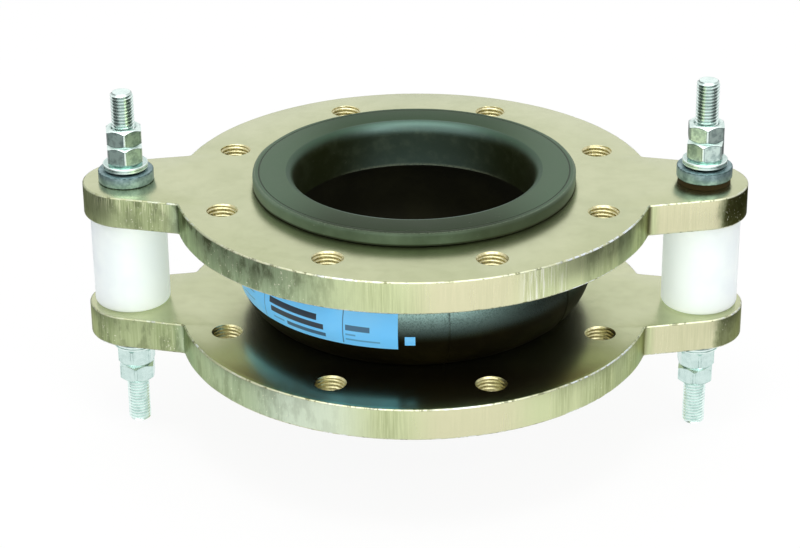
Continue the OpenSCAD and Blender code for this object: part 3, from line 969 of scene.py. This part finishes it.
rod_zinc = bright_zinc(
    "rod_zinc", pale=(0.86, 1.0, 0.96), dark=(0.70, 0.85, 0.81), rough=0.2, depth=0.01 * MM,
    size=0.5 * MM, groove_r=rod_r - 0.15 * MM,
)
for side, x in rod_at.items():
    node = f"{side}_tie_rod"
    low, high = (corner.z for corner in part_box(node))
    rod = bmesh.new()
    ridge = [(rod_r, 0), (rod_r, 0.13), (rod_root_r, 0.47), (rod_root_r, 0.66)]
    thread(rod, ridge, rod_pitch, low, high, rod_steps)
    for vert in rod.verts:
        depth = min(vert.co.z - low, high - vert.co.z)
        radius = vert.co.xy.length
        vert.co.xy *= min(radius, rod_tip_r + depth) / radius
    bmesh.ops.holes_fill(rod, edges=[edge for edge in rod.edges if edge.is_boundary])
    bmesh.ops.recalc_face_normals(rod, faces=rod.faces)
    bmesh.ops.translate(rod, verts=rod.verts, vec=(x, 0, 0))
    finished(f"{side}_stud", rod, [rod_zinc], f"{side}_rod", [node], crease=30)

# Conical seats: thick zinc-plated rings with a cone in the outer face for the ball washer. The
# right upper one stands on a dark packing washer.
rod_play_r = 7.3 * MM
seat_r = 14.5 * MM
seat_h = 6 * MM
cone_r = 10.8 * MM
cone_angle = math.radians(30)
cone_depth = (cone_r - rod_play_r) * math.tan(cone_angle)
seat_edge_r = 0.5 * MM
packing_r = 13.75 * MM
packing_edge_r = 0.2 * MM
bevel_margin = 0.05 * MM
rod_ends = [(side, end) for side in rod_at for end in ("lower", "upper")]

grey = Finish("seat_zinc")
frost = grey.grain(0.55 * MM, grey.place(), 3, 0.7)
cloudy = grey.grain(4 * MM, grey.place(), 3, 0.6)
lathe = grey.grain(0.8 * MM, grey.place((0.08, 0.08, 1)), 2)
pale_share = cloudy.rise(0.35, 0.65) * 0.7 + frost.rise(0.5, 0.75) * 0.3
seat_zinc = grey.shade(
    Base_Color=grey.mix(pale_share, (0.15, 0.23, 0.24), (0.35, 0.48, 0.50)),
    Metallic=0.85,
    Roughness=0.34 + frost * 0.15,
    Normal=grey.bump(frost * 0.6 + lathe, 0.02 * MM, 0.6),
)
# The seat's rounded outer edge is darker than its faces.
seat_edge_tone = Finish("seat_edge")
edge_grain = seat_edge_tone.grain(2 * MM, seat_edge_tone.place(), 3, 0.6)
seat_edge = seat_edge_tone.shade(
    Base_Color=seat_edge_tone.mix(edge_grain.rise(0.4, 0.7), (0.05, 0.09, 0.09), (0.20, 0.29, 0.29)),
    Metallic=0.8,
    Roughness=0.5,
)

dark = Finish("packing_finish")
fibre = dark.grain(1.0 * MM, dark.place(), 3, 0.6)
packing_finish = dark.shade(
    Base_Color=dark.mix(fibre, (0.012, 0.008, 0.002), (0.036, 0.024, 0.005)),
    Roughness=0.8,
    Specular_IOR_Level=0.15,
    Normal=dark.bump(fibre, 0.03 * MM, 0.6),
)

low, high = (corner.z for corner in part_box("right_packing_washer"))
section = [(rod_play_r, low), (packing_r, low), (packing_r, high), (rod_play_r, high)]
turned(
    "packing_washer", section, packing_edge_r, rod_x, [packing_finish], "upper",
    "right_packing_washer",
)

for side, end in rod_ends:
    node = f"{side}_{end}_seat"
    corners = [corner.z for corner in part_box(node)]
    base = -corners[1] if end == "lower" else corners[0]
    top = base + seat_h
    section = [
        (rod_play_r, base), (seat_r, base), (seat_r, top), (cone_r, top),
        (rod_play_r, top - cone_depth),
    ]
    x = rod_at[side]
    seat = turned(
        f"{side}_{end}_cone_seat", section, seat_edge_r, x, [seat_zinc, seat_edge], end,
        node, flip=end == "lower",
    )
    for polygon in seat.data.polygons:
        out = (polygon.center - Vector((x, 0, 0))).xy.length
        bevelled = 0.2 < abs(polygon.normal.z) < 0.98
        if out > seat_r - seat_edge_r - bevel_margin and bevelled:
            polygon.material_index = 1

# Ball washers: turned steel rings, round underneath to sit in the cone and flat on top for the
# nut, with a fine groove round the rim, bright zinc.
ball_r = 17 * MM
washer_r = 11.75 * MM
washer_bore_r = 6.5 * MM
washer_h = 5.9 * MM
washer_edge_r = 0.5 * MM
washer_chamfer = 0.3 * MM
lip_groove = [(0, 1.6 * MM), (0.35 * MM, 1.5 * MM), (0.35 * MM, 1.1 * MM), (0, 1.0 * MM)]

washer_zinc = bright_zinc(
    "washer_zinc", pale=(0.60, 0.74, 0.70), dark=(0.44, 0.58, 0.54), rough=0.08,
    depth=0.006 * MM, size=0.8 * MM,
)
washer_rim = bright_zinc(
    "washer_rim", pale=(0.80, 0.94, 0.90), dark=(0.66, 0.80, 0.76), rough=0.28,
    depth=0.02 * MM, size=0.6 * MM,
)
for side, end in rod_ends:
    node = f"{side}_{end}_ball_washer"
    corners = [corner.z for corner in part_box(node)]
    top = -corners[0] if end == "lower" else corners[1]
    ball_z = top - washer_h + math.sqrt(ball_r ** 2 - washer_bore_r ** 2)
    start = math.degrees(math.asin(washer_bore_r / ball_r)) - 90
    stop = math.degrees(math.asin(washer_r / ball_r)) - 90
    section = list(curve((0, ball_z), ball_r, start, stop, 10))
    section += [(washer_r - step, top - drop) for step, drop in lip_groove]
    edge_centre = (washer_r - washer_edge_r, top - washer_edge_r)
    section += curve(edge_centre, washer_edge_r, 0, 90, 3)
    section += [(washer_bore_r + washer_chamfer, top), (washer_bore_r, top - washer_chamfer)]
    x = rod_at[side]
    washer = turned(
        f"{side}_{end}_cup_washer", section, 0, x, [washer_zinc, washer_rim], f"{side}_rod",
        node, flip=end == "lower",
    )
    for polygon in washer.data.polygons:
        out = (polygon.center - Vector((x, 0, 0))).xy.length
        in_groove = 1.02 * MM < top - abs(polygon.center.z) < 1.58 * MM
        if out > washer_r - washer_edge_r - bevel_margin and not in_groove:
            polygon.material_index = 1

# Nuts: hexagon nuts, one against each ball washer and one locking it. Both ends are chamfered, so
# that each flat is arched. The upper ones are blotched, with a painted highlight on their edges,
# and the right ones are painted lighter, as lit. Every nut has a fine painted shade line beside
# its edges, and the lower ones are otherwise clean.
nut_flat = 18 * MM / 2
nut_bore_r = 6.3 * MM
nut_mouth_r = 7.1 * MM
nut_face_r = 8.4 * MM
nut_corner_r = 1.1 * MM
nut_line_w = 0.35 * MM
chamfer_rise = math.tan(math.radians(40))
corner_points = 5
flat_points = 9
flat_slot, nut_edge_slot, shade_line_slot = range(3)
nut_slots = {"flat": flat_slot, "edge": nut_edge_slot, "line": shade_line_slot}


def nut_outline(turn_angle):
    """One hexagon with rounded corners: its points, and what the step after each one is."""
    corner_out = (nut_flat - nut_corner_r) / math.cos(math.pi / 6)
    half_flat = corner_out / 2 - nut_line_w
    points = []
    for side_index in range(6):
        middle = turn_angle + side_index * math.pi / 3
        centre = Vector((math.cos(middle), math.sin(middle))) * corner_out
        for i in range(corner_points):
            angle = middle + (i / (corner_points - 1) - 0.5) * math.pi / 3
            kind = "edge" if i < corner_points - 1 else "line"
            ray_out = Vector((math.cos(angle), math.sin(angle)))
            points.append((centre + ray_out * nut_corner_r, kind))
        facing = middle + math.pi / 6
        flat_middle = Vector((math.cos(facing), math.sin(facing))) * nut_flat
        along = Vector((-math.sin(facing), math.cos(facing)))
        for i in range(flat_points):
            share = 2 * i / (flat_points - 1) - 1
            kind = "flat" if i < flat_points - 1 else "line"
            points.append((flat_middle + along * share * half_flat, kind))
    return points


def nut_end(nut, outline, x, z, way):
    """One end of a nut, up or down by way, as five loops of points from the flats to the bore."""
    rows = [[], [], [], [], []]
    for point, _ in outline:
        drop = (point.length - nut_face_r) * chamfer_rise * way
        ray_out = point.normalized()
        bore_z = z - (nut_mouth_r - nut_bore_r) * way
        places = (
            (point, z - drop - nut_line_w * way), (point, z - drop), (ray_out * nut_face_r, z),
            (ray_out * nut_mouth_r, z), (ray_out * nut_bore_r, bore_z),
        )
        for row, (spot, height) in zip(rows, places):
            row.append(nut.verts.new((spot.x + x, spot.y, height)))
    return rows


def nut_turn(node, x):
    """The angle of a solid nut's furthest corner, so that the piece is turned as the solid is."""
    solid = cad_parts[node]
    axis = Vector((x, 0, 0))
    spots = [(solid.matrix_world @ vert.co - axis).xy for vert in solid.data.vertices]
    corner = max(spots, key=lambda spot: spot.length)
    return math.atan2(corner.y, corner.x)


nut_zinc = bright_zinc(
    "nut_zinc", pale=(0.60, 0.78, 0.72), dark=(0.25, 0.36, 0.34), rough=0.26,
    depth=0.05 * MM, size=0.8 * MM,
)
nut_lit = bright_zinc(
    "nut_lit", pale=(0.78, 0.96, 0.89), dark=(0.36, 0.50, 0.48), rough=0.26,
    depth=0.05 * MM, size=0.8 * MM,
)
# Painted highlight: the upper nuts' corners, top chamfers, ends and bores are painted bright.
nut_edge_highlight = bright_zinc(
    "nut_edge_highlight", pale=(0.80, 0.92, 0.88), dark=(0.64, 0.77, 0.73), rough=0.36,
    depth=0.02 * MM, size=1.2 * MM,
)
nut_clean = bright_zinc(
    "nut_clean", pale=(0.66, 0.82, 0.78), dark=(0.56, 0.72, 0.68), rough=0.22,
    depth=0.01 * MM, size=0.8 * MM,
)
# Painted shade: a darker line beside each nut's edges.
nut_shade_line = bright_zinc(
    "nut_shade_line", pale=(0.30, 0.42, 0.40), dark=(0.12, 0.18, 0.17), rough=0.3,
    depth=0.02 * MM, size=1.2 * MM,
)
for side, end in rod_ends:
    x = rod_at[side]
    # Painted light: the right upper nuts' flats get a lighter zinc than the left ones.
    if end == "upper":
        materials = [nut_zinc if side == "left" else nut_lit, nut_edge_highlight, nut_shade_line]
        chamfers = (nut_edge_slot, flat_slot)
    else:
        materials = [nut_clean, nut_clean, nut_zinc]
        chamfers = (flat_slot, nut_edge_slot)
    for place in ("nut", "lock_nut"):
        node = f"{side}_{end}_{place}"
        low, high = (corner.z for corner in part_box(node))
        outline = nut_outline(nut_turn(node, x))
        nut = bmesh.new()
        upper = nut_end(nut, outline, x, high, 1)
        lower = nut_end(nut, outline, x, low, -1)
        bands = [(upper[0], lower[0], None), (upper[4], lower[4], nut_edge_slot)]
        for rows, chamfer in zip((upper, lower), chamfers):
            bands += [(rows[0], rows[1], shade_line_slot), (rows[1], rows[2], chamfer)]
            bands += [(rows[2], rows[3], nut_edge_slot), (rows[3], rows[4], nut_edge_slot)]
        for one, other, index in bands:
            for i, (_, kind) in enumerate(outline):
                after = (i + 1) % len(outline)
                face = nut.faces.new((one[i], one[after], other[after], other[i]))
                face.material_index = nut_slots[kind] if index is None else index
        bmesh.ops.recalc_face_normals(nut, faces=nut.faces)
        finished(
            f"{side}_{end}_hex_{place}", nut, materials, f"{side}_rod", [node], crease=24
        )
